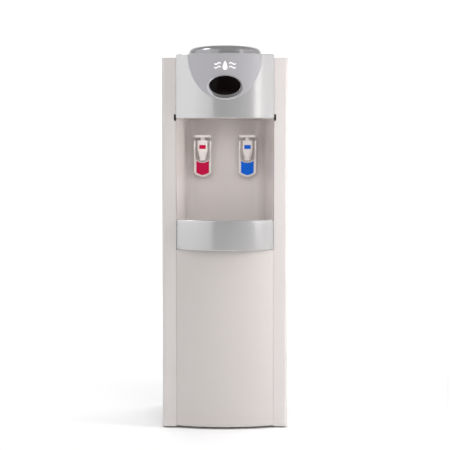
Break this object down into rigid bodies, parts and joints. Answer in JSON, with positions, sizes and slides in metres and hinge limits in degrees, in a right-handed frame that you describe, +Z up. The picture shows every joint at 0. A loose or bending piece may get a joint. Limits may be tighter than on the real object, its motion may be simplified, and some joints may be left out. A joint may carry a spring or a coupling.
{
  "type": "bottled water dispenser",
  "caption": "Floor-standing bottled-water dispenser with hot and cold push taps, a lit oval display, a pull-out drip tray and a bottle seat on top.",
  "frame": {"origin": "middle of the footprint, on the floor", "axes": "+Z up; the front with the taps faces -Y; +X is to the right of a person who faces the front"},
  "size_m": [0.31, 0.354, 0.955],
  "materials": {
    "pearl_paint": "satin pearl",
    "pearl_plastic": "semi-gloss pearl",
    "silver_plastic": "glossy silver",
    "slate_plastic": "glossy slate silver",
    "chrome_trim": "polished",
    "black_lens": "glossy smoked",
    "black_plastic": "matte",
    "ivory_plastic": "glossy white",
    "red_plastic": "glossy red",
    "blue_plastic": "glossy blue",
    "stainless": "brushed",
    "galvanised": "galvanised",
    "copper": "drawn copper",
    "foam": "bead foam",
    "rubber": "matte",
    "silicone": "translucent silicone",
    "black_paint": "black enamel",
    "board_green": "solder mask",
    "lamp_red": "tinted lamp"
  },
  "bodies": {
    "cabinet": {"base_pan": "galvanised", "feet": "rubber", "left_side_panel": "pearl_paint", "right_side_panel": "pearl_paint", "rear_panel": "galvanised", "panel_screws": "chrome_trim", "top_deck": "silver_plastic", "cold_tank_shelf": "galvanised", "hot_tank_shelf": "galvanised", "lower_front_panel": "pearl_plastic", "head_shell": "silver_plastic", "shield_inlay": "slate_plastic", "emblem": "chrome_trim", "display_bezel": "chrome_trim", "display_lens": "black_lens", "indicator_board": "board_green", "indicator_lamps": "lamp_red", "corner_clips": "black_plastic", "alcove_liner": "pearl_plastic", "bottle_collar": "silver_plastic", "bottle_well": "ivory_plastic", "cold_tank": "stainless", "cold_tank_jacket": "foam", "evaporator_coil": "copper", "cold_thermostat": "black_plastic", "hot_tank": "stainless", "heater_band": "galvanised", "hot_thermostat": "black_plastic", "compressor": "black_paint", "compressor_grommets": "rubber", "filter_drier": "copper", "refrigerant_pipes": "copper", "condenser_tube": "black_paint", "condenser_wires": "black_paint", "condenser_brackets": "galvanised", "hoses": "silicone", "drain_fitting": "ivory_plastic", "switch_housings": "black_plastic", "power_gland": "rubber", "tap_nuts": "ivory_plastic", "tap_gaskets": "silicone", "hot_spring": "stainless", "cold_spring": "stainless", "hot_tap_body": "ivory_plastic", "cold_tap_body": "ivory_plastic", "hot_label": "red_plastic", "cold_label": "blue_plastic"},
    "hot_paddle": {"hot_paddle": "ivory_plastic", "hot_pad": "red_plastic", "hot_hinge_pin": "stainless"},
    "cold_paddle": {"cold_paddle": "ivory_plastic", "cold_pad": "blue_plastic", "cold_hinge_pin": "stainless"},
    "hot_plunger": {"hot_plunger": "silicone"},
    "cold_plunger": {"cold_plunger": "silicone"},
    "drip_tray": {"drip_tray": "silver_plastic"},
    "drip_grille": {"drip_grille": "stainless"},
    "hot_switch": {"hot_switch": "red_plastic"},
    "cold_switch": {"cold_switch": "blue_plastic"},
    "drain_cap": {"drain_cap": "ivory_plastic"}
  },
  "joints": [
    {"name": "hot_paddle_hinge", "type": "hinge", "parent": "cabinet", "child": "hot_paddle", "pos_m": [-0.0565, -0.054, 0.709], "axis": [1, 0, 0], "range_deg": [0, 12], "stiffness_Nm_per_rad": 0.3, "springref_deg": -5.73},
    {"name": "hot_valve_lift", "type": "slide", "parent": "cabinet", "child": "hot_plunger", "axis": [0, 0, 1], "range_m": [0, 0.002], "stiffness_N_per_m": 150, "springref_m": -0.004, "deforming": ["hot_spring"]},
    {"name": "cold_paddle_hinge", "type": "hinge", "parent": "cabinet", "child": "cold_paddle", "pos_m": [0.0565, -0.054, 0.709], "axis": [1, 0, 0], "range_deg": [0, 12], "stiffness_Nm_per_rad": 0.3, "springref_deg": -5.73},
    {"name": "cold_valve_lift", "type": "slide", "parent": "cabinet", "child": "cold_plunger", "axis": [0, 0, 1], "range_m": [0, 0.002], "stiffness_N_per_m": 150, "springref_m": -0.004, "deforming": ["cold_spring"]},
    {"name": "drip_tray_slide", "type": "slide", "parent": "cabinet", "child": "drip_tray", "axis": [0, -1, 0], "range_m": [0, 0.15]},
    {"name": "drip_grille_lift", "type": "slide", "parent": "drip_tray", "child": "drip_grille", "axis": [0, 0, 1], "range_m": [0, 0.1]},
    {"name": "hot_switch_rock", "type": "hinge", "parent": "cabinet", "child": "hot_switch", "pos_m": [-0.1, 0.1522, 0.845], "axis": [1, 0, 0], "range_deg": [-16, 0]},
    {"name": "cold_switch_rock", "type": "hinge", "parent": "cabinet", "child": "cold_switch", "pos_m": [-0.06, 0.1522, 0.845], "axis": [1, 0, 0], "range_deg": [-16, 0]},
    {"name": "drain_cap_pull", "type": "slide", "parent": "cabinet", "child": "drain_cap", "axis": [0, 1, 0], "range_m": [0, 0.025]}
  ],
  "couplings": [
    {"joint": "hot_valve_lift", "follows": "hot_paddle_hinge", "m_per_rad": 0.009},
    {"joint": "cold_valve_lift", "follows": "cold_paddle_hinge", "m_per_rad": 0.009}
  ]
}
